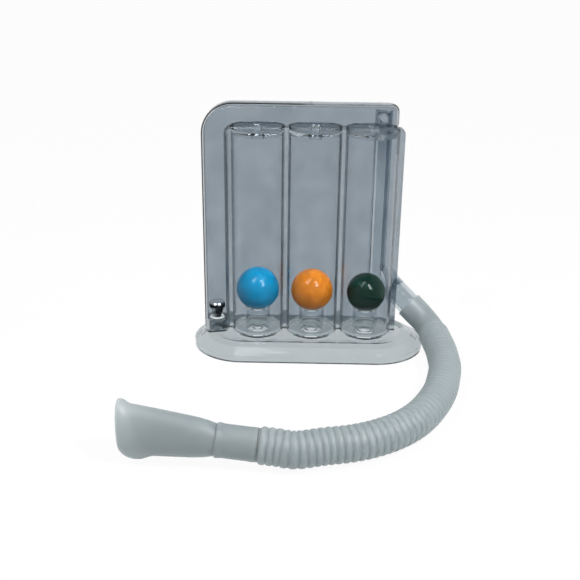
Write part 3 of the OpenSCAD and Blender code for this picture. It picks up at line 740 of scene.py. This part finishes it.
for node, cfg in ballSettings.items():
    makeBall(node, cfg, jointLine)
print("balls made")

floorSettings = {"size": 3.0, "drop": 0.0002, "tone": 0.8, "rough": 0.9, "whiteShare": 0.94}
skyStrength = 0.68
paneSettings = {
    "rightPane": {"place": (0.22, -0.34, 0.45), "size": (0.13, 0.38), "strength": 25.0},
    "leftPane": {"place": (-0.16, -0.2, 0.56), "size": (0.13, 0.38), "strength": 12.5},
}
lampSettings = {
    "keyLamp": {"place": (0.25, -0.32, 0.46), "aim": (0, 0, 0.05), "size": (0.023, 0.096), "power": 1.9},
    "fillLamp": {"place": (-0.24, -0.24, 0.56), "aim": (0, -0.05, 0.05), "size": (0.0215, 0.068), "power": 0.95},
}
paneAim = (0, 0, 0.05)


def seenMask(tree):
    # one for the camera and for what the plastic bends and mirrors, nought for the light on the object
    rays = tree.nodes.new("ShaderNodeLightPath")
    seen = mathNode(tree, "MAXIMUM", rays.outputs["Is Camera Ray"], rays.outputs["Is Glossy Ray"])
    return mathNode(tree, "MAXIMUM", seen, rays.outputs["Is Transmission Ray"])


def addFloor(cfg):
    bm = bmesh.new()
    bmesh.ops.create_grid(bm, x_segments=1, y_segments=1, size=cfg["size"])
    mesh = bpy.data.meshes.new("floor")
    bm.to_mesh(mesh)
    bm.free()
    floor = bpy.data.objects.new("floor", mesh)
    floor.location.z = -cfg["drop"]
    scene.collection.objects.link(floor)
    mat, tree, shader = newMaterial("paleFloor")
    shader.inputs["Base Color"].default_value = (*[cfg["tone"]] * 3, 1)
    shader.inputs["Roughness"].default_value = cfg["rough"]
    white, mix = tree.nodes.new("ShaderNodeEmission"), tree.nodes.new("ShaderNodeMixShader")
    for source, target in ((mathNode(tree, "MULTIPLY", seenMask(tree), cfg["whiteShare"]), mix.inputs[0]),
                           (shader.outputs[0], mix.inputs[1]), (white.outputs[0], mix.inputs[2]),
                           (mix.outputs[0], tree.nodes["Material Output"].inputs["Surface"])):
        tree.links.new(source, target)
    mesh.materials.append(mat)


def addSky(strength):
    # white where it is seen, soft light for the rest
    world = bpy.data.worlds.new("studio")
    scene.world = world
    world.use_nodes = True
    tree = world.node_tree
    sky, pick = tree.nodes["Background"], tree.nodes.new("ShaderNodeMix")
    sky.inputs["Color"].default_value = (1, 1, 1, 1)
    pick.inputs[2].default_value = strength
    pick.inputs[3].default_value = 1.0
    tree.links.new(seenMask(tree), pick.inputs[0])
    tree.links.new(pick.outputs[0], sky.inputs["Strength"])


def linkAimed(thing, place, aim):
    thing.location = place
    thing.rotation_euler = (Vector(place) - Vector(aim)).to_track_quat("Z", "Y").to_euler()
    scene.collection.objects.link(thing)


def addPane(name, cfg):
    # bright pane that only mirrors and clear plastic show, for the window-like highlights
    w, h = (side / 2 for side in cfg["size"])
    mesh = bpy.data.meshes.new(name)
    mesh.from_pydata([(-w, -h, 0), (w, -h, 0), (w, h, 0), (-w, h, 0)], [], [(0, 1, 2, 3)])
    mat, tree, shader = newMaterial(name)
    shader.inputs["Base Color"].default_value = (0, 0, 0, 1)
    shader.inputs["Emission Color"].default_value = (1, 1, 1, 1)
    shader.inputs["Emission Strength"].default_value = cfg["strength"]
    mesh.materials.append(mat)
    pane = bpy.data.objects.new(name, mesh)
    pane.visible_camera = pane.visible_diffuse = pane.visible_shadow = False
    linkAimed(pane, cfg["place"], paneAim)


def addLamp(name, cfg):
    data = bpy.data.lights.new(name, "AREA")
    data.shape = "RECTANGLE"
    data.size, data.size_y = cfg["size"]
    data.energy = cfg["power"]
    linkAimed(bpy.data.objects.new(name, data), cfg["place"], cfg["aim"])


addFloor(floorSettings)
addSky(skyStrength)
for name, cfg in paneSettings.items():
    addPane(name, cfg)
for name, cfg in lampSettings.items():
    addLamp(name, cfg)
scene.view_settings.view_transform = "Standard"
scene.cycles.max_bounces = 32
scene.cycles.transmission_bounces = 32
scene.cycles.glossy_bounces = 8
scene.cycles.transparent_max_bounces = 16
print("studio ready")
